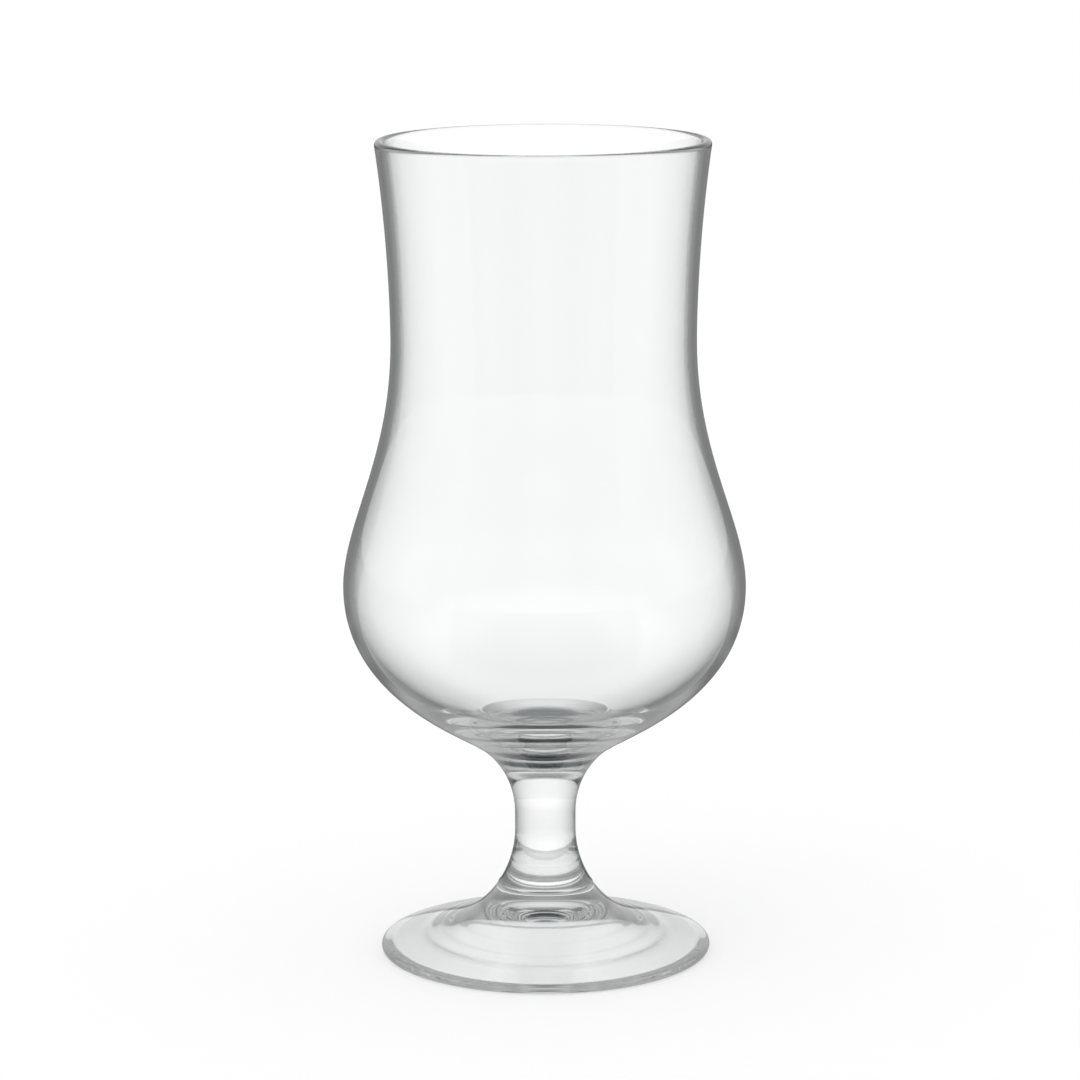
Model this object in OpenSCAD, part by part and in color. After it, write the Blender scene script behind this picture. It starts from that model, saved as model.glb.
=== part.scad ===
// Hurricane glass: a blown bowl with a pinched waist, a short flared stem and a hollow foot.
// The three gathers of glass are welded hot, face to face, on flat discs.
// The origin is the centre of the foot's resting plane, and +Z runs up through the mouth.

/* [Bowl] */
// Height of the bowl, from its weld with the stem to the crest of the rim
bowl_h = 133.2; // [112:0.2:156]
// Outside diameter of the rim at the lip
rim_d = 72.6; // [61:0.2:84]
// Outside diameter of the pinched waist
waist_d = 66.4; // [56:0.2:77]
// Outside diameter of the belly
belly_d = 88.2; // [75:0.2:104]
// Height of the waist above the bowl's weld
waist_h = 90; // [77:0.5:105]
// Height of the belly above the bowl's weld
belly_h = 35.3; // [29:0.1:42]
// Angle by which the wall leans out below the rim, from upright
rim_lean = 8.1; // [3:0.1:12]
// Angle of the bowl's underside where it leaves the weld, from level
underside_angle = 31.5; // [26:0.1:38]

/* [Walls] */
// Thickness of the rounded lip
lip_t = 2.2; // [1.6:0.1:2.8]
// Wall at the waist
waist_wall = 1.9; // [1.4:0.1:2.6]
// Wall at the belly
belly_wall = 2.1; // [1.5:0.1:3]
// Thickness of the glass between the cavity's floor and the weld
floor_t = 3.2; // [2.6:0.1:5]

/* [Stem] */
// Diameter of the neck, the narrowest stretch of the stem
neck_d = 13.4; // [11:0.1:16]
// Length of the straight neck between the two flares
neck_len = 3.5; // [2:0.1:8]
// Diameter of the disc on which the stem is welded to the bowl
bowl_weld_d = 30.8; // [25:0.1:37]
// Radius of the hollow curve that flares the stem out to the bowl
upper_flare_r = 18.6; // [15:0.1:24]
// Diameter of the disc on which the stem is welded to the foot
foot_weld_d = 20.6; // [17:0.1:25]
// Radius of the hollow curve that flares the stem out to the foot
lower_flare_r = 23.1; // [18:0.1:31]

/* [Foot] */
// Outside diameter of the foot
foot_d = 73; // [62:0.2:86]
// Height of the foot's weld above the table
foot_h = 15.2; // [13:0.1:18]
// Thickness of the foot's rounded edge
edge_t = 2.2; // [1.8:0.1:2.8]
// Fall of the foot's upper face where it meets the edge, from level
edge_fall_angle = 17.1; // [12:0.1:22]
// Width of the flat ring that the glass rests on
ring_w = 2.2; // [1.2:0.1:3.5]
// Height of the hollow under the foot, at its middle
recess_h = 9.5; // [7.5:0.1:10.5]
// Diameter at which the hollow's outer cone passes into its inner bell
bell_d = 44; // [37:0.5:52]
// Rise of the hollow's outer cone, from level
recess_angle = 14; // [10:0.5:16]

/* [Hidden] */
$fn = 96;
glass_colour = [0.82, 0.90, 0.90, 0.45];

// Steps along each free curve, and along each round arc
curve_steps = 16;
arc_steps = 10;

// How far each curve's handles reach, as shares of the step that the curve spans
underside_share = 0.33;
under_belly_share = 0.612;
over_belly_share = 0.256;
under_waist_share = 0.479;
over_waist_share = 0.065;
under_rim_share = 0.5;
cavity_side_share = 0.661;
cavity_floor_share = 0.442;
foot_shoulder_share = 0.62;
foot_apron_share = 0.59;
bell_rim_share = 0.25;
bell_crown_share = 0.5;

// Radii of the bowl, outside and inside
rim_r = rim_d / 2;
waist_r = waist_d / 2;
belly_r = belly_d / 2;
waist_ri = waist_r - waist_wall;
belly_ri = belly_r - belly_wall;
bowl_weld_r = bowl_weld_d / 2;

// The lip is a full round of the rim's thickness
lip_r = lip_t / 2;
lip_centre = [rim_r - lip_r, bowl_h - lip_r];

// Each flare is an arc that starts upright at the neck, and turns until it is as wide as its weld
neck_r = neck_d / 2;
foot_weld_r = foot_weld_d / 2;
upper_turn = acos(1 - (bowl_weld_r - neck_r) / upper_flare_r);
lower_turn = acos(1 - (foot_weld_r - neck_r) / lower_flare_r);
upper_flare_h = upper_flare_r * sin(upper_turn);
lower_flare_h = lower_flare_r * sin(lower_turn);
stem_h = lower_flare_h + neck_len + upper_flare_h;

// Heights of the two welds above the table
stem_z = foot_h;
bowl_z = stem_z + stem_h;

// The foot's edge is a half round, and the resting ring lies inside it
foot_r = foot_d / 2;
edge_r = edge_t / 2;
edge_centre = [foot_r - edge_r, edge_r];
ring_ri = edge_centre.x - ring_w;

// Where the hollow's outer cone passes into its inner bell
bell_r = bell_d / 2;
bell_rim = [bell_r, (ring_ri - bell_r) * tan(recess_angle)];

// A step of a given length in a given direction, counted from level and outwards
function polar(length, angle) = length * [cos(angle), sin(angle)];

// Points of a cubic curve after its first one; each handle is a step from its own end
function curve(start, start_handle, end_handle, end) = [
    for (i = [1 : curve_steps])
        let (t = i / curve_steps, s = 1 - t)
            s * s * s * start
            + 3 * s * s * t * (start + start_handle)
            + 3 * s * t * t * (end + end_handle)
            + t * t * t * end
];

// Points of a round arc after its first one
function arc(centre, radius, from_angle, to_angle) = [
    for (i = [1 : arc_steps])
        centre + polar(radius, from_angle + (to_angle - from_angle) * i / arc_steps)
];

// Outside of the bowl, from its weld up to the lip
function bowl_outside() =
    let (
        weld = [bowl_weld_r, 0],
        belly = [belly_r, belly_h],
        waist = [waist_r, waist_h],
        lip = lip_centre + polar(lip_r, -rim_lean),
        shoulder = waist_h - belly_h,
        flare = lip.y - waist_h
    )
    concat(
        [weld],
        curve(weld, polar(underside_share * (belly_r - bowl_weld_r), underside_angle),
            [0, -under_belly_share * belly_h], belly),
        curve(belly, [0, over_belly_share * shoulder], [0, -under_waist_share * shoulder], waist),
        curve(waist, [0, over_waist_share * flare],
            -polar(under_rim_share * flare, 90 - rim_lean), lip)
    );

// Inside of the bowl, from the lip down to the middle of the floor
function bowl_inside() =
    let (
        lip = lip_centre + polar(lip_r, 180 - rim_lean),
        waist = [waist_ri, waist_h],
        belly = [belly_ri, belly_h],
        shoulder = waist_h - belly_h,
        flare = lip.y - waist_h
    )
    concat(
        curve(lip, -polar(under_rim_share * flare, 90 - rim_lean),
            [0, over_waist_share * flare], waist),
        curve(waist, [0, -under_waist_share * shoulder], [0, over_belly_share * shoulder], belly),
        curve(belly, [0, -cavity_side_share * (belly_h - floor_t)],
            [cavity_floor_share * belly_ri, 0], [0, floor_t])
    );

// Upper face of the foot: it carries on from the flare and runs out to the edge
function foot_top() =
    let (
        weld = [foot_weld_r, foot_h],
        edge = edge_centre + polar(edge_r, 90 - edge_fall_angle)
    )
    concat(
        [weld],
        curve(weld, polar(foot_shoulder_share * foot_h, lower_turn - 90),
            polar(foot_apron_share * (foot_r - foot_weld_r), 180 - edge_fall_angle), edge)
    );

module bowl() {
    color(glass_colour)
        translate([0, 0, bowl_z])
            rotate_extrude()
                polygon(concat(
                    [[0, 0]],
                    bowl_outside(),
                    arc(lip_centre, lip_r, -rim_lean, 180 - rim_lean),
                    bowl_inside()
                ));
}

module stem() {
    color(glass_colour)
        translate([0, 0, stem_z])
            rotate_extrude()
                polygon(concat(
                    [[0, 0], [foot_weld_r, 0]],
                    arc([neck_r + lower_flare_r, lower_flare_h], lower_flare_r,
                        180 + lower_turn, 180),
                    [[neck_r, stem_h - upper_flare_h]],
                    arc([neck_r + upper_flare_r, stem_h - upper_flare_h], upper_flare_r,
                        180, 180 - upper_turn),
                    [[0, stem_h]]
                ));
}

module foot() {
    color(glass_colour)
        rotate_extrude()
            polygon(concat(
                [[0, foot_h]],
                foot_top(),
                arc(edge_centre, edge_r, 90 - edge_fall_angle, -90),
                [[ring_ri, 0], bell_rim],
                curve(bell_rim, polar(bell_rim_share * bell_r, 180 - recess_angle),
                    [bell_crown_share * bell_r, 0], [0, recess_h])
            ));
}

bowl();
stem();
foot();
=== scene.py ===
"""Looks of the hurricane glass: bowl, stem and foot in clear glass, in a pale studio."""
import math

import bpy
import numpy as np
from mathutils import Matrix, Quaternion, Vector


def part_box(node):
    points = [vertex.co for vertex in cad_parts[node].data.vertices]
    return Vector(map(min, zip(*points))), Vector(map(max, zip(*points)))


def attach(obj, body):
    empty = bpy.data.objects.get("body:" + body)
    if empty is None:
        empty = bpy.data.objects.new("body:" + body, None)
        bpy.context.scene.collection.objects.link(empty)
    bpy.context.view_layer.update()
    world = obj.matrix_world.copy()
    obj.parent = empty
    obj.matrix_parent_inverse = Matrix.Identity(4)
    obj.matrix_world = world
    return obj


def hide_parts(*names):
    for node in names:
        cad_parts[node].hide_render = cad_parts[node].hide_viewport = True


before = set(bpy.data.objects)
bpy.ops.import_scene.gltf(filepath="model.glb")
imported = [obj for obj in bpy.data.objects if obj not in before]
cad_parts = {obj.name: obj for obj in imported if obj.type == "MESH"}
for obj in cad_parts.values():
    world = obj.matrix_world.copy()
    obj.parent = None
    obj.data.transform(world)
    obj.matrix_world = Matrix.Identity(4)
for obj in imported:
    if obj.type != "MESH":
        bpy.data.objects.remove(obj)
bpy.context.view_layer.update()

MM = 0.001

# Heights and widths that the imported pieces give
BOWL_LOW, BOWL_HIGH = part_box("bowl")
STEM_LOW, STEM_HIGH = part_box("stem")
FOOT_LOW, FOOT_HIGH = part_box("foot")
BOWL_H = BOWL_HIGH.z - BOWL_LOW.z
STEM_H = STEM_HIGH.z - STEM_LOW.z
FOOT_H = FOOT_HIGH.z - FOOT_LOW.z
BELLY_R = BOWL_HIGH.x
FOOT_R = FOOT_HIGH.x
BOWL_WELD_R = STEM_HIGH.x

# Sizes of the bowl, in metres
RIM_R = 36.3 * MM
WAIST_R = 33.2 * MM
WAIST_H = 90 * MM
BELLY_H = 35.3 * MM
LIP_R = 1.1 * MM
WAIST_WALL = 1.9 * MM
BELLY_WALL = 2.1 * MM
FLOOR_T = 3.2 * MM
RIM_LEAN = math.radians(8.1)
UNDERSIDE_ANGLE = math.radians(31.5)

# Sizes of the stem
NECK_R = 6.7 * MM
FOOT_WELD_R = 10.3 * MM
UPPER_FLARE_R = 18.6 * MM
LOWER_FLARE_R = 23.1 * MM

# Sizes of the foot
EDGE_R = 1.1 * MM
RING_W = 2.2 * MM
RECESS_H = 9.5 * MM
BELL_R = 22 * MM
EDGE_FALL = math.radians(17.1)
RECESS_RISE = math.radians(14)

# How far each curve's handles reach, as shares of the step that the curve spans
UNDERSIDE_SHARE = 0.33
UNDER_BELLY_SHARE = 0.612
OVER_BELLY_SHARE = 0.256
UNDER_WAIST_SHARE = 0.479
OVER_WAIST_SHARE = 0.065
UNDER_RIM_SHARE = 0.50
CAVITY_SIDE_SHARE = 0.661
CAVITY_FLOOR_SHARE = 0.442
FOOT_SHOULDER_SHARE = 0.62
FOOT_APRON_SHARE = 0.59
BELL_RIM_SHARE = 0.25
BELL_CROWN_SHARE = 0.5

# Two faint rings that the tools leave under the foot
RIDGE_R = 25 * MM
RIDGE_H = 0.15 * MM
GROOVE_R = 19 * MM
GROOVE_H = 0.18 * MM
RIDGE_W = 1.4 * MM

# The raised ring round each weld, and a grey disc of painted shade in the middle of the upper one, for
# the dark shade seen there through the glass
WELD_RING = 0.12 * MM
WELD_RING_W = 0.45 * MM
SHADE_DISC_R = 7.5 * MM
SHADE_DISC_SOFT = 2.5 * MM
SHADE_DISC_GREY = (0.28, 0.32, 0.33)

# How finely the pieces are turned, and how finely each stretch of a profile is stepped
SEGMENTS = 256
CURVE_STEPS = 44
ARC_STEPS = 24
BOWL_WELD_STEPS = 10
FOOT_WELD_STEPS = 8
UPPER_FLARE_STEPS = 60
LOWER_FLARE_STEPS = 48
NECK_STEPS = 6
FOOT_CURVE_STEPS = 64
RING_STEPS = 3
CONE_STEPS = 20

# How near to a weld's height its points lie, and the mean mark over which a face belongs to it
WELD_REACH = 0.001 * MM
WELD_SURE = 0.99

# Points closer than this are one, and edges sharper than this stay sharp
MERGE_REACH = 0.0001 * MM
SHARP_ANGLE = math.radians(40)

# The faint waves in each piece's glass: their height, their scale and their seed
BOWL_WAVES = (0.05 * MM, 25.0, 0.0)
STEM_WAVES = (0.04 * MM, 60.0, 1.0)
FOOT_WAVES = (0.06 * MM, 40.0, 2.0)
WAVE_DETAIL = 1.0
WAVE_MIDDLE = 0.5

# Each piece's glass: its tint; its darker tint where it is met edge on, partly the longer path through
# the glass and partly painted shade for the dark surroundings seen at the edges; and how close that
# keeps to the edge
BOWL_TINT_AND_EDGE_SHADE = ((0.985, 0.99, 0.988), (0.50, 0.53, 0.525), 10.0)
STEM_TINT_AND_EDGE_SHADE = ((0.985, 0.99, 0.988), (0.02, 0.03, 0.028), 1.6)
FOOT_TINT_AND_EDGE_SHADE = ((0.97, 0.98, 0.976), (0.70, 0.73, 0.72), 8.0)
EDGE_BLEND = 0.75
GLASS_IOR = 1.5
SHADOW_TINT = (0.97, 0.975, 0.972)

# The camera: its distance from the glass's axis, its height and its aim
CAMERA_BACK = 890 * MM
CAMERA_UP = 266.5 * MM
CAMERA_PITCH = math.radians(11.074)
CAMERA_YAW = math.radians(0.0615)
CAMERA_ROLL = math.radians(0.206)
SENSOR = 36.0
FRAME_PIXELS = 1080
FOCAL_PIXELS = 4146
LENS = FOCAL_PIXELS / FRAME_PIXELS * SENSOR

# White as the camera sees it beside the glass, and through the glass
WHITE = 1.0
WHITE_IN_GLASS = 0.98

# The light that falls on things, and the floor's paint
AMBIENT = 0.78
SUN_SHARE = 0.30
SUN_WIDTH = math.radians(50)
SUN_TILT = (math.radians(28), math.radians(-22), 0)
FLOOR_ALBEDO = 0.80

# The floor's own glow beside the glass, and through it under the foot, behind it and far away
FLOOR_LIFT = 0.20
LIFT_UNDER_FOOT = 0.36
LIFT_BEHIND = 0.18
LIFT_AWAY = 0.24
BEHIND_RAMP = (40 * MM, 90 * MM)
AWAY_RAMP = (130 * MM, 290 * MM)

# What the glass mirrors inside its walls: strips all round, on the floor and in the world
STRIPS = 8.0
STRIP_DARK = 0.24
STRIP_LIGHT = 0.40
SKY_DARK = 0.20
SKY_LIGHT = 0.34

# Over the strips the world is pale, and dark straight above; the ramps are heights of a direction
INNER_ABOVE = 0.85
INNER_TOP = 0.30
ABOVE_RAMP = (0.30, 0.65)
TOP_RAMP = (0.75, 0.95)

# What the outside of the glass mirrors: a soft box on each side, and the room round and above them
BOXES = 2.0
BOX_EDGE = 0.25
BOX_SOFT = 0.06
BOX_LIGHT = 1.25
ROOM_ROUND = 0.85
ROOM = 0.45

# What it mirrors of the floor: pale near the glass, then darker, and bright under the boxes
FLOOR_ROUND = 0.60
FLOOR_AWAY = 0.20
FLOOR_BOX = 0.90
ROUND_RAMP = (70 * MM, 150 * MM)

# The mirrored floor: plain white under the foot, then dark inside the walls, then the strips
FLOOR_DARK = 0.14
MIRRORED_RAMP = (20 * MM, 45 * MM)
STRIP_RAMP = (45 * MM, 260 * MM)

# Half the floor's width in metres, and how far it lies below the resting ring
FLOOR_HALF = 30.0
FLOOR_DROP = 0.05 * MM

# Ray depths are whole numbers, so over this something has happened once
NOT_YET = 0.5

# How often a ray may turn in the glass
BOUNCES = 160
MIRROR_BOUNCES = 128
THROUGH_BOUNCES = 64
CLEAR_BOUNCES = 128


def polar(length, angle):
    """A step of a length in a direction, counted from level and outwards."""
    return np.array([length * math.cos(angle), length * math.sin(angle)])


def curve(start, start_handle, end_handle, end, steps=CURVE_STEPS):
    """Points of a cubic curve after its first one; each handle is a step from its own end."""
    start, end = np.array(start), np.array(end)
    t = (np.arange(steps) + 1)[:, None] / steps
    s = 1 - t
    return (
        s**3 * start
        + 3 * s * s * t * (start + start_handle)
        + 3 * s * t * t * (end + end_handle)
        + t**3 * end
    )


def arc(centre, radius, from_angle, to_angle, steps=ARC_STEPS):
    """Points of a round arc after its first one."""
    angles = from_angle + (to_angle - from_angle) * (np.arange(steps) + 1) / steps
    return np.array([np.array(centre) + polar(radius, a) for a in angles])


def line(start, end, steps):
    """Points of a straight line after its first one."""
    t = (np.arange(steps) + 1)[:, None] / steps
    return np.array(start) * (1 - t) + np.array(end) * t


def bump(points, middle, width, axis):
    """A rounded bump from 0 to 1 along one axis of the points."""
    return np.exp(-(((points[:, axis] - middle) / width) ** 2))


def ringed(points, height):
    """The same points, pushed out by the raised ring of a weld at a height."""
    swell = WELD_RING * bump(points, height, WELD_RING_W, 1)
    return points + np.stack([swell, 0 * swell], axis=1)


def tooled(points):
    """The same points, with the two faint rings under the foot."""
    ridge = RIDGE_H * bump(points, RIDGE_R, RIDGE_W, 0)
    groove = GROOVE_H * bump(points, GROOVE_R, RIDGE_W, 0)
    return points + np.stack([0 * ridge, groove - ridge], axis=1)


def lower_turn():
    """The angle through which the stem's lower flare turns."""
    return math.acos(1 - (FOOT_WELD_R - NECK_R) / LOWER_FLARE_R)


def upper_turn():
    """The angle through which the stem's upper flare turns."""
    return math.acos(1 - (BOWL_WELD_R - NECK_R) / UPPER_FLARE_R)


def bowl_outside(lip):
    """The bowl's outside from the middle of its weld to the lip."""
    weld = [BOWL_WELD_R, 0]
    belly = [BELLY_R, BELLY_H]
    waist = [WAIST_R, WAIST_H]
    shoulder = WAIST_H - BELLY_H
    flare = lip[1] - WAIST_H
    lean = math.pi / 2 - RIM_LEAN
    return np.vstack([
        line([0, 0], weld, BOWL_WELD_STEPS),
        curve(weld, polar(UNDERSIDE_SHARE * (BELLY_R - BOWL_WELD_R), UNDERSIDE_ANGLE),
              [0, -UNDER_BELLY_SHARE * BELLY_H], belly),
        curve(belly, [0, OVER_BELLY_SHARE * shoulder], [0, -UNDER_WAIST_SHARE * shoulder], waist),
        curve(waist, [0, OVER_WAIST_SHARE * flare], -polar(UNDER_RIM_SHARE * flare, lean), lip),
    ])


def bowl_inside(lip):
    """The bowl's inside from the lip to the middle of the cavity's floor."""
    belly = [BELLY_R - BELLY_WALL, BELLY_H]
    waist = [WAIST_R - WAIST_WALL, WAIST_H]
    shoulder = WAIST_H - BELLY_H
    flare = lip[1] - WAIST_H
    lean = math.pi / 2 - RIM_LEAN
    return np.vstack([
        curve(lip, -polar(UNDER_RIM_SHARE * flare, lean), [0, OVER_WAIST_SHARE * flare], waist),
        curve(waist, [0, -UNDER_WAIST_SHARE * shoulder], [0, OVER_BELLY_SHARE * shoulder], belly),
        curve(belly, [0, -CAVITY_SIDE_SHARE * (BELLY_H - FLOOR_T)],
              [CAVITY_FLOOR_SHARE * (BELLY_R - BELLY_WALL), 0], [0, FLOOR_T]),
    ])


def bowl_profile():
    """The bowl's closed outline from the middle of its weld, out, up, over the lip and down."""
    centre = np.array([RIM_R - LIP_R, BOWL_H - LIP_R])
    outside = bowl_outside(centre + polar(LIP_R, -RIM_LEAN))
    lip = arc(centre, LIP_R, -RIM_LEAN, math.pi - RIM_LEAN)
    inside = bowl_inside(centre + polar(LIP_R, math.pi - RIM_LEAN))
    return np.vstack([[[0, 0]], ringed(outside, 0), lip, inside]) + [0, BOWL_LOW.z]


def stem_profile():
    """The stem's closed outline from the middle of the foot's weld, out, up and in."""
    lower_h = LOWER_FLARE_R * math.sin(lower_turn())
    upper_h = UPPER_FLARE_R * math.sin(upper_turn())
    side = np.vstack([
        line([0, 0], [FOOT_WELD_R, 0], FOOT_WELD_STEPS),
        arc([NECK_R + LOWER_FLARE_R, lower_h], LOWER_FLARE_R,
            math.pi + lower_turn(), math.pi, LOWER_FLARE_STEPS),
        line([NECK_R, lower_h], [NECK_R, STEM_H - upper_h], NECK_STEPS),
        arc([NECK_R + UPPER_FLARE_R, STEM_H - upper_h], UPPER_FLARE_R,
            math.pi, math.pi - upper_turn(), UPPER_FLARE_STEPS),
    ])
    top = line([side[-1][0], STEM_H], [0, STEM_H], BOWL_WELD_STEPS)
    side = ringed(ringed(side, STEM_H), 0)
    return np.vstack([[[0, 0]], side, top]) + [0, STEM_LOW.z]


def foot_top(edge):
    """The foot's upper face from the middle of its weld to the rounded edge."""
    weld = [FOOT_WELD_R, FOOT_H]
    return np.vstack([
        line([0, FOOT_H], weld, FOOT_WELD_STEPS),
        curve(weld, polar(FOOT_SHOULDER_SHARE * FOOT_H, lower_turn() - math.pi / 2),
              polar(FOOT_APRON_SHARE * (FOOT_R - FOOT_WELD_R), math.pi - EDGE_FALL),
              edge, FOOT_CURVE_STEPS),
    ])


def foot_under(edge_centre):
    """The rounded edge, the resting ring and the hollow, up to the hollow's crown."""
    ring_r = FOOT_R - EDGE_R - RING_W
    bell_rim = [BELL_R, (ring_r - BELL_R) * math.tan(RECESS_RISE)]
    return np.vstack([
        arc(edge_centre, EDGE_R, math.pi / 2 - EDGE_FALL, -math.pi / 2),
        line([FOOT_R - EDGE_R, 0], [ring_r, 0], RING_STEPS),
        line([ring_r, 0], bell_rim, CONE_STEPS),
        curve(bell_rim, polar(BELL_RIM_SHARE * BELL_R, math.pi - RECESS_RISE),
              [BELL_CROWN_SHARE * BELL_R, 0], [0, RECESS_H], FOOT_CURVE_STEPS),
    ])


def foot_profile():
    """The foot's closed outline from the middle of its weld, out, over the edge and under."""
    edge_centre = np.array([FOOT_R - EDGE_R, EDGE_R])
    top = foot_top(edge_centre + polar(EDGE_R, math.pi / 2 - EDGE_FALL))
    under = foot_under(edge_centre)
    return np.vstack([[[0, FOOT_H]], ringed(top, FOOT_H), tooled(under)])


def profile_mesh(name, points, weld_heights):
    """A mesh with one vertex for each point of a profile, and an attribute that marks its welds."""
    mesh = bpy.data.meshes.new(name)
    edges = [(i, i + 1) for i in range(len(points) - 1)]
    mesh.from_pydata([(r, 0, z) for r, z in points], edges, [])
    weld = mesh.attributes.new("weld", "FLOAT", "POINT")
    flat = [min(abs(z - h) for h in weld_heights) < WELD_REACH for r, z in points]
    weld.data.foreach_set("value", np.array(flat, np.float32))
    return mesh


def wire(tree, source, target):
    """Joins an output to an input."""
    tree.links.new(source, target)


def give(tree, value, socket):
    """Joins an output to an input, or sets the input to a number."""
    if isinstance(value, bpy.types.NodeSocket):
        wire(tree, value, socket)
    else:
        socket.default_value = value


def maths_in(tree, operation, a, b=0.0, c=0.0):
    """A maths node in a tree, whose inputs are numbers or sockets."""
    node = tree.nodes.new("ShaderNodeMath")
    node.operation = operation
    for socket, value in zip(node.inputs, (a, b, c)):
        give(tree, value, socket)
    return node.outputs[0]


def level_direction(tree, place):
    """The direction of a place from the glass's axis, kept level and one long."""
    level = tree.nodes.new("ShaderNodeVectorMath")
    level.operation = "MULTIPLY"
    level.inputs[1].default_value = (1, 1, 0)
    wire(tree, place, level.inputs[0])
    unit = tree.nodes.new("ShaderNodeVectorMath")
    unit.operation = "NORMALIZE"
    wire(tree, level.outputs[0], unit.inputs[0])
    return unit.outputs[0]


def lathe_inputs(tree):
    """The lathe's named inputs and its output."""
    sockets = {
        "Profile": "NodeSocketGeometry",
        "Segments": "NodeSocketInt",
        "Wave height": "NodeSocketFloat",
        "Wave scale": "NodeSocketFloat",
        "Seed": "NodeSocketFloat",
        "Glass": "NodeSocketMaterial",
        "Weld": "NodeSocketMaterial",
    }
    for name, kind in sockets.items():
        tree.interface.new_socket(name, in_out="INPUT", socket_type=kind)
    tree.interface.new_socket("Geometry", in_out="OUTPUT", socket_type="NodeSocketGeometry")
    return tree.nodes.new("NodeGroupInput").outputs


def lathe_grid(tree, given):
    """A grid with a row for each point of the profile and a column for each step of the turn."""
    size = tree.nodes.new("GeometryNodeAttributeDomainSize")
    wire(tree, given["Profile"], size.inputs["Geometry"])
    rings = size.outputs["Point Count"]
    grid = tree.nodes.new("GeometryNodeMeshGrid")
    wire(tree, maths_in(tree, "ADD", given["Segments"], 1), grid.inputs["Vertices X"])
    wire(tree, rings, grid.inputs["Vertices Y"])
    index = tree.nodes.new("GeometryNodeInputIndex").outputs[0]
    middle = maths_in(tree, "ADD", index, 0.5)
    column = maths_in(tree, "FLOOR", maths_in(tree, "DIVIDE", middle, rings))
    ring = maths_in(tree, "SUBTRACT", index, maths_in(tree, "MULTIPLY", column, rings))
    return grid.outputs["Mesh"], column, ring


def of_profile(tree, given, value, kind, ring):
    """A value of the profile at the point that a ring stands for."""
    pick = tree.nodes.new("GeometryNodeSampleIndex")
    pick.data_type = kind
    wire(tree, given["Profile"], pick.inputs["Geometry"])
    wire(tree, value, pick.inputs["Value"])
    wire(tree, ring, pick.inputs["Index"])
    return pick.outputs["Value"]


def turned_place(tree, given, column, ring):
    """Where each corner of the grid stands once the profile is turned about Z."""
    start = tree.nodes.new("GeometryNodeInputPosition").outputs[0]
    turn = tree.nodes.new("ShaderNodeVectorRotate")
    turn.rotation_type = "Z_AXIS"
    wire(tree, of_profile(tree, given, start, "FLOAT_VECTOR", ring), turn.inputs["Vector"])
    round_so_far = maths_in(tree, "MULTIPLY", column, 2 * math.pi)
    wire(tree, maths_in(tree, "DIVIDE", round_so_far, given["Segments"]), turn.inputs["Angle"])
    return turn.outputs[0]


def weld_mark(tree):
    """The attribute that is 1 on the flat welds and 0 elsewhere."""
    marked = tree.nodes.new("GeometryNodeInputNamedAttribute")
    marked.data_type = "FLOAT"
    marked.inputs["Name"].default_value = "weld"
    return marked.outputs["Attribute"]


def glass_waves(tree, given, place, mark):
    """A slight push out or in, as blown glass has it, and none on the flat welds."""
    noise = tree.nodes.new("ShaderNodeTexNoise")
    noise.noise_dimensions = "4D"
    noise.inputs["Detail"].default_value = WAVE_DETAIL
    wire(tree, place, noise.inputs["Vector"])
    wire(tree, given["Wave scale"], noise.inputs["Scale"])
    wire(tree, given["Seed"], noise.inputs["W"])
    share = maths_in(tree, "SUBTRACT", noise.outputs["Fac"], WAVE_MIDDLE)
    off_welds = maths_in(tree, "MULTIPLY", share, maths_in(tree, "SUBTRACT", 1, mark))
    wave = tree.nodes.new("ShaderNodeVectorMath")
    wave.operation = "SCALE"
    wire(tree, level_direction(tree, place), wave.inputs[0])
    wire(tree, maths_in(tree, "MULTIPLY", off_welds, given["Wave height"]), wave.inputs["Scale"])
    return wave.outputs[0]


def closed_skin(tree, grid, place, waves, mark):
    """The grid in its turned shape, with its seam and poles closed and its faces smooth."""
    shape = tree.nodes.new("GeometryNodeSetPosition")
    wire(tree, grid, shape.inputs["Geometry"])
    wire(tree, place, shape.inputs["Position"])
    wire(tree, waves, shape.inputs["Offset"])
    kept = tree.nodes.new("GeometryNodeStoreNamedAttribute")
    kept.inputs["Name"].default_value = "weld"
    wire(tree, shape.outputs[0], kept.inputs["Geometry"])
    wire(tree, mark, kept.inputs["Value"])
    merge = tree.nodes.new("GeometryNodeMergeByDistance")
    merge.inputs["Distance"].default_value = MERGE_REACH
    wire(tree, kept.outputs[0], merge.inputs["Geometry"])
    smooth = tree.nodes.new("GeometryNodeSetShadeSmooth")
    wire(tree, merge.outputs[0], smooth.inputs["Geometry"])
    whole = tree.nodes.new("GeometryNodeRealizeInstances")
    wire(tree, smooth.outputs[0], whole.inputs[0])
    return whole.outputs[0]


def coated(tree, given, skin):
    """The skin in its glass, and its flat welds in the fused one."""
    glass = tree.nodes.new("GeometryNodeSetMaterial")
    wire(tree, skin, glass.inputs["Geometry"])
    wire(tree, given["Glass"], glass.inputs["Material"])
    on_face = tree.nodes.new("GeometryNodeFieldOnDomain")
    on_face.domain = "FACE"
    wire(tree, weld_mark(tree), on_face.inputs[0])
    flat = tree.nodes.new("FunctionNodeCompare")
    flat.operation = "GREATER_THAN"
    flat.inputs["B"].default_value = WELD_SURE
    wire(tree, on_face.outputs[0], flat.inputs["A"])
    weld = tree.nodes.new("GeometryNodeSetMaterial")
    wire(tree, glass.outputs[0], weld.inputs["Geometry"])
    wire(tree, flat.outputs[0], weld.inputs["Selection"])
    wire(tree, given["Weld"], weld.inputs["Material"])
    return weld.outputs[0]


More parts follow.
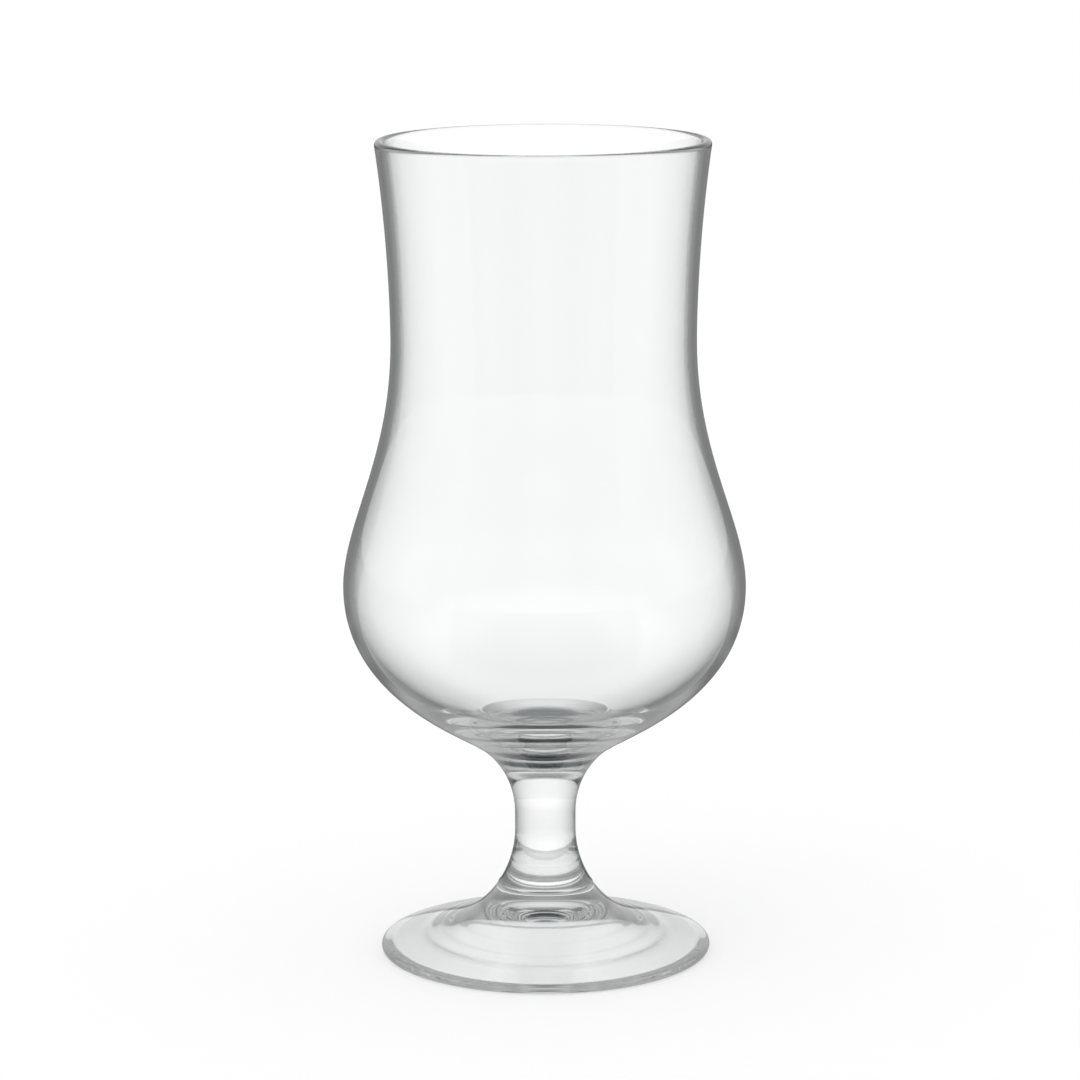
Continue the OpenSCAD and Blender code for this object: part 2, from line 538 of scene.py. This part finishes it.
def lathe_tree():
    """A node group that turns a profile about Z, with slight waves in the glass."""
    tree = bpy.data.node_groups.new("lathe", "GeometryNodeTree")
    given = lathe_inputs(tree)
    grid, column, ring = lathe_grid(tree, given)
    place = turned_place(tree, given, column, ring)
    mark = of_profile(tree, given, weld_mark(tree), "FLOAT", ring)
    waves = glass_waves(tree, given, place, mark)
    skin = closed_skin(tree, grid, place, waves, mark)
    wire(tree, coated(tree, given, skin), tree.nodes.new("NodeGroupOutput").inputs[0])
    return tree


def turned(name, tree, profile, weld_heights, settings):
    """The piece that the lathe makes from a profile, as a plain mesh object."""
    blank = bpy.data.objects.new(name + "_profile", profile_mesh(name, profile, weld_heights))
    bpy.context.scene.collection.objects.link(blank)
    modifier = blank.modifiers.new("lathe", "NODES")
    modifier.node_group = tree
    for socket in tree.interface.items_tree:
        if socket.in_out == "INPUT" and socket.name in settings:
            modifier[socket.identifier] = settings[socket.name]
    seen = blank.evaluated_get(bpy.context.evaluated_depsgraph_get())
    mesh = bpy.data.meshes.new_from_object(seen)
    bpy.data.objects.remove(blank)
    mesh.name = name
    outward(mesh)
    mesh.set_sharp_from_angle(angle=SHARP_ANGLE)
    piece = bpy.data.objects.new(name, mesh)
    bpy.context.scene.collection.objects.link(piece)
    return piece


def outward(mesh):
    """Turns a closed mesh's faces outwards if its volume comes out negative."""
    mesh.calc_loop_triangles()
    places = np.zeros(len(mesh.vertices) * 3)
    mesh.vertices.foreach_get("co", places)
    corners = np.zeros(len(mesh.loop_triangles) * 3, np.int32)
    mesh.loop_triangles.foreach_get("vertices", corners)
    a, b, c = places.reshape(-1, 3)[corners.reshape(-1, 3)].transpose(1, 0, 2)
    if (a * np.cross(b, c)).sum() < 0:
        mesh.flip_normals()


def blend_in(tree, share, a, b):
    """The number a, passing into b as share goes from 0 to 1."""
    mix = tree.nodes.new("ShaderNodeMix")
    for socket, value in zip((mix.inputs[0], mix.inputs[2], mix.inputs[3]), (share, a, b)):
        give(tree, value, socket)
    return mix.outputs[0]


def colour_in(tree, share, a, b):
    """The colour a, passing into b as share goes from 0 to 1."""
    mix = tree.nodes.new("ShaderNodeMix")
    mix.data_type = "RGBA"
    mix.inputs["A"].default_value = (*a, 1)
    mix.inputs["B"].default_value = (*b, 1)
    wire(tree, share, mix.inputs["Factor"])
    return mix.outputs["Result"]


def shader_in(tree, share, a, b):
    """The shader a, passing into b as share goes from 0 to 1."""
    mix = tree.nodes.new("ShaderNodeMixShader")
    for socket, value in zip(mix.inputs, (share, a, b)):
        wire(tree, value, socket)
    return mix.outputs[0]


def ramp_in(tree, value, low, high):
    """A smooth rise from 0 to 1 as the value goes from low to high."""
    ramp = tree.nodes.new("ShaderNodeMapRange")
    ramp.interpolation_type = "SMOOTHSTEP"
    ramp.inputs["From Min"].default_value = low
    ramp.inputs["From Max"].default_value = high
    wire(tree, value, ramp.inputs["Value"])
    return ramp.outputs[0]


def axes_of(tree, place):
    """The X, Y and Z of a place or a direction."""
    xyz = tree.nodes.new("ShaderNodeSeparateXYZ")
    wire(tree, place, xyz.inputs[0])
    return xyz.outputs


def object_place(tree):
    """Places on a piece, counted from the middle of the foot's resting plane."""
    return tree.nodes.new("ShaderNodeTexCoord").outputs["Object"]


def new_material(name):
    """An empty node material with its output."""
    material = bpy.data.materials.new(name)
    material.use_nodes = True
    tree = material.node_tree
    tree.nodes.clear()
    return material, tree, tree.nodes.new("ShaderNodeOutputMaterial")


def lamps_pass(tree, shader):
    """The shader, swapped for a nearly clear one where light on its way to the floor meets it."""
    clear = tree.nodes.new("ShaderNodeBsdfTransparent")
    clear.inputs["Color"].default_value = (*SHADOW_TINT, 1)
    shadow = tree.nodes.new("ShaderNodeLightPath").outputs["Is Shadow Ray"]
    return shader_in(tree, shadow, shader, clear.outputs[0])


def glass_material(name, tint_and_edge_shade, upright):
    """Clear glass, darker where it is met edge on, partly as a longer path through the glass and partly
    as painted shade; upright takes its side for a straight one.
    """
    tint, edge_tint_and_painted_shade, edge_power = tint_and_edge_shade
    material, tree, out = new_material(name)
    glass = tree.nodes.new("ShaderNodeBsdfPrincipled")
    glass.inputs["Roughness"].default_value = 0.0
    glass.inputs["IOR"].default_value = GLASS_IOR
    glass.inputs["Transmission Weight"].default_value = 1.0
    # Painted shade, partly real: the glass darkens where it is met edge on, for a longer path through
    # the glass and for dark surroundings seen at its edges
    edge = tree.nodes.new("ShaderNodeLayerWeight")
    edge.inputs["Blend"].default_value = EDGE_BLEND
    if upright:
        wire(tree, level_direction(tree, object_place(tree)), edge.inputs["Normal"])
    share = maths_in(tree, "POWER", edge.outputs["Facing"], edge_power)
    wire(tree, colour_in(tree, share, tint, edge_tint_and_painted_shade), glass.inputs["Base Color"])
    wire(tree, lamps_pass(tree, glass.outputs[0]), out.inputs["Surface"])
    return material


def weld_material():
    """The fused discs, which light crosses unbent; the upper one has a grey disc of painted shade in
    its middle.
    """
    material, tree, out = new_material("fused_glass")
    xyz = axes_of(tree, object_place(tree))
    squares = [maths_in(tree, "POWER", xyz[axis], 2.0) for axis in ("X", "Y")]
    radius = maths_in(tree, "SQRT", maths_in(tree, "ADD", *squares))
    # Painted shade: a soft grey disc in the middle of the upper weld, for the dark shade seen there
    # through the glass
    outside = ramp_in(tree, radius, SHADE_DISC_R - SHADE_DISC_SOFT, SHADE_DISC_R + SHADE_DISC_SOFT)
    below = maths_in(tree, "LESS_THAN", xyz["Z"], (STEM_LOW.z + STEM_HIGH.z) / 2)
    unshaded = maths_in(tree, "MAXIMUM", outside, below)
    clear = tree.nodes.new("ShaderNodeBsdfTransparent")
    wire(tree, colour_in(tree, unshaded, SHADE_DISC_GREY, (1, 1, 1)), clear.inputs["Color"])
    wire(tree, clear.outputs[0], out.inputs["Surface"])
    return material


def azimuth_wave(tree, xyz, folds):
    """A cosine from -1 to 1 of the direction round the glass, with a number of folds."""
    azimuth = maths_in(tree, "ARCTAN2", xyz["Y"], xyz["X"])
    return maths_in(tree, "COSINE", maths_in(tree, "MULTIPLY", azimuth, folds))


def side_boxes(tree, xyz):
    """1 towards the soft boxes on the glass's left and right, and 0 between them."""
    return ramp_in(tree, azimuth_wave(tree, xyz, BOXES), BOX_EDGE - BOX_SOFT, BOX_EDGE + BOX_SOFT)


def inner_level(tree, place, dark, light):
    """What the glass mirrors inside its walls: strips all round, pale over them and dark on top."""
    xyz = axes_of(tree, place)
    share = maths_in(tree, "MULTIPLY_ADD", azimuth_wave(tree, xyz, STRIPS), 0.5, 0.5)
    level = blend_in(tree, share, dark, light)
    above = blend_in(tree, ramp_in(tree, xyz["Z"], *TOP_RAMP), INNER_ABOVE, INNER_TOP)
    return blend_in(tree, ramp_in(tree, xyz["Z"], *ABOVE_RAMP), level, above)


def outer_level(tree, place):
    """What the outside of the glass mirrors of the room: a soft box on each side, grey above."""
    xyz = axes_of(tree, place)
    level = blend_in(tree, side_boxes(tree, xyz), ROOM_ROUND, BOX_LIGHT)
    return blend_in(tree, ramp_in(tree, xyz["Z"], *ABOVE_RAMP), level, ROOM)


def outer_floor_level(tree, place, apart):
    """What the outside of the glass mirrors of the floor: pale near it, then dark between the boxes."""
    away = blend_in(tree, side_boxes(tree, axes_of(tree, place)), FLOOR_AWAY, FLOOR_BOX)
    return blend_in(tree, ramp_in(tree, apart, *ROUND_RAMP), FLOOR_ROUND, away)


def path_kinds(tree):
    """Whether a ray looks at a place, if the place is mirrored, and if the ray went into the glass."""
    path = tree.nodes.new("ShaderNodeLightPath").outputs
    through = maths_in(tree, "MAXIMUM", path["Is Glossy Ray"], path["Is Transmission Ray"])
    seen = maths_in(tree, "MAXIMUM", path["Is Camera Ray"], through)
    unscattered = maths_in(tree, "LESS_THAN", path["Diffuse Depth"], NOT_YET)
    mirrored = maths_in(tree, "GREATER_THAN", path["Glossy Depth"], NOT_YET)
    inside = maths_in(tree, "GREATER_THAN", path["Transmission Depth"], NOT_YET)
    return maths_in(tree, "MULTIPLY", seen, unscattered), mirrored, inside


def studio_world():
    """White behind the glass, panels in its reflections and plain soft light on everything else."""
    world = bpy.data.worlds.new("studio")
    bpy.context.scene.world = world
    world.use_nodes = True
    tree = world.node_tree
    tree.nodes.clear()
    looked_at, mirrored, inside = path_kinds(tree)
    direction = tree.nodes.new("ShaderNodeTexCoord").outputs["Generated"]
    inner = inner_level(tree, direction, SKY_DARK, SKY_LIGHT)
    glints = blend_in(tree, inside, outer_level(tree, direction), inner)
    behind = blend_in(tree, inside, WHITE, WHITE_IN_GLASS)
    seen = blend_in(tree, mirrored, behind, glints)
    light = tree.nodes.new("ShaderNodeBackground")
    light.inputs["Color"].default_value = (1, 1, 1, 1)
    wire(tree, blend_in(tree, looked_at, AMBIENT, seen), light.inputs["Strength"])
    wire(tree, light.outputs[0], tree.nodes.new("ShaderNodeOutputWorld").inputs["Surface"])


def floor_glow(tree, apart, looked_at):
    """The glow that lifts the floor to the white behind it, for rays that look at it."""
    in_glass = tree.nodes.new("ShaderNodeLightPath").outputs["Is Transmission Ray"]
    through = blend_in(tree, ramp_in(tree, apart, *BEHIND_RAMP), LIFT_UNDER_FOOT, LIFT_BEHIND)
    through = blend_in(tree, ramp_in(tree, apart, *AWAY_RAMP), through, LIFT_AWAY)
    lifted = blend_in(tree, in_glass, FLOOR_LIFT, through)
    return maths_in(tree, "MULTIPLY", looked_at, lifted)


def floor_panels(tree, place, apart, inside):
    """What the glass mirrors of the floor, from its outside and inside its walls."""
    strips = inner_level(tree, place, STRIP_DARK, STRIP_LIGHT)
    inner = blend_in(tree, ramp_in(tree, apart, *STRIP_RAMP), FLOOR_DARK, strips)
    return blend_in(tree, inside, outer_floor_level(tree, place, apart), inner)


def glowing(tree, strength):
    """A white glow of a given strength."""
    glow = tree.nodes.new("ShaderNodeEmission")
    wire(tree, strength, glow.inputs["Strength"])
    return glow.outputs[0]


def floor_material():
    """A white floor that keeps the glass's shadow, and shows in reflections as the panels do."""
    material, tree, out = new_material("white_floor")
    looked_at, mirrored, inside = path_kinds(tree)
    place = object_place(tree)
    length = tree.nodes.new("ShaderNodeVectorMath")
    length.operation = "LENGTH"
    wire(tree, place, length.inputs[0])
    apart = length.outputs["Value"]
    paint = tree.nodes.new("ShaderNodeBsdfDiffuse")
    paint.inputs["Color"].default_value = (FLOOR_ALBEDO, FLOOR_ALBEDO, FLOOR_ALBEDO, 1)
    white = tree.nodes.new("ShaderNodeAddShader")
    wire(tree, paint.outputs[0], white.inputs[0])
    wire(tree, glowing(tree, floor_glow(tree, apart, looked_at)), white.inputs[1])
    panels = glowing(tree, floor_panels(tree, place, apart, inside))
    mirrored_look = maths_in(tree, "MULTIPLY", mirrored, looked_at)
    shown = maths_in(tree, "MULTIPLY", mirrored_look, ramp_in(tree, apart, *MIRRORED_RAMP))
    wire(tree, shader_in(tree, shown, white.outputs[0], panels), out.inputs["Surface"])
    material.cycles.emission_sampling = "NONE"
    return material


def studio_floor():
    """A wide level floor that the foot stands on."""
    half = FLOOR_HALF
    corners = [(-half, -half, 0), (half, -half, 0), (half, half, 0), (-half, half, 0)]
    mesh = bpy.data.meshes.new("floor")
    mesh.from_pydata(corners, [], [(0, 1, 2, 3)])
    mesh.materials.append(floor_material())
    floor = bpy.data.objects.new("floor", mesh)
    floor.location.z = -FLOOR_DROP
    bpy.context.scene.collection.objects.link(floor)


def studio_sun():
    """A wide soft sun, high on the left and in front, which the glass itself doesn't mirror."""
    data = bpy.data.lights.new("sun", "SUN")
    data.energy = math.pi * SUN_SHARE
    data.angle = SUN_WIDTH
    sun = bpy.data.objects.new("sun", data)
    sun.rotation_euler = SUN_TILT
    sun.visible_glossy = False
    sun.visible_transmission = False
    bpy.context.scene.collection.objects.link(sun)


def studio_camera():
    """The camera at the photograph's place, aimed a little down."""
    data = bpy.data.cameras.new("camera")
    data.sensor_width = SENSOR
    data.lens = LENS
    camera = bpy.data.objects.new("camera", data)
    camera.location = (0, -CAMERA_BACK, CAMERA_UP)
    aim = Vector((-math.sin(CAMERA_YAW), math.cos(CAMERA_YAW), -math.tan(CAMERA_PITCH)))
    facing = aim.to_track_quat("-Z", "Y")
    roll = Quaternion((0, 0, 1), -CAMERA_ROLL)
    camera.rotation_mode = "QUATERNION"
    camera.rotation_quaternion = facing @ roll
    bpy.context.scene.collection.objects.link(camera)
    bpy.context.scene.camera = camera


def glass_piece(name, node, lathe, profile, weld_heights, waves, glass, weld):
    """Turns a piece on the lathe, puts it under the root body and hides the solid it stands for."""
    height, scale, seed = waves
    settings = {
        "Segments": SEGMENTS,
        "Wave height": height,
        "Wave scale": scale,
        "Seed": seed,
        "Glass": glass,
        "Weld": weld,
    }
    piece = turned(name, lathe, profile, weld_heights, settings)
    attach(piece, "root")
    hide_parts(node)


def blown_bowl(lathe, weld):
    """The bowl in thin clear glass."""
    glass = glass_material("bowl_glass", BOWL_TINT_AND_EDGE_SHADE, False)
    heights = [STEM_HIGH.z]
    glass_piece("blown_bowl", "bowl", lathe, bowl_profile(), heights, BOWL_WAVES, glass, weld)


def flared_stem(lathe, weld):
    """The stem in solid clear glass, dark along its sides mostly by painted shade in its edge-on tint.
    """
    glass = glass_material("stem_glass", STEM_TINT_AND_EDGE_SHADE, True)
    heights = [STEM_LOW.z, STEM_HIGH.z]
    glass_piece("flared_stem", "stem", lathe, stem_profile(), heights, STEM_WAVES, glass, weld)


def hollow_foot(lathe, weld):
    """The foot in thick clear glass, with the hollow under it."""
    glass = glass_material("foot_glass", FOOT_TINT_AND_EDGE_SHADE, False)
    heights = [STEM_LOW.z]
    glass_piece("hollow_foot", "foot", lathe, foot_profile(), heights, FOOT_WAVES, glass, weld)


def ray_limits():
    """Lets rays turn in the thick glass until they leave it."""
    cycles = bpy.context.scene.cycles
    cycles.max_bounces = BOUNCES
    cycles.glossy_bounces = MIRROR_BOUNCES
    cycles.transmission_bounces = THROUGH_BOUNCES
    cycles.transparent_max_bounces = CLEAR_BOUNCES


def main():
    """Makes the three pieces and the studio."""
    lathe = lathe_tree()
    weld = weld_material()
    blown_bowl(lathe, weld)
    flared_stem(lathe, weld)
    hollow_foot(lathe, weld)
    studio_world()
    studio_floor()
    studio_sun()
    studio_camera()
    ray_limits()
    bpy.context.scene.view_settings.view_transform = "Standard"


main()
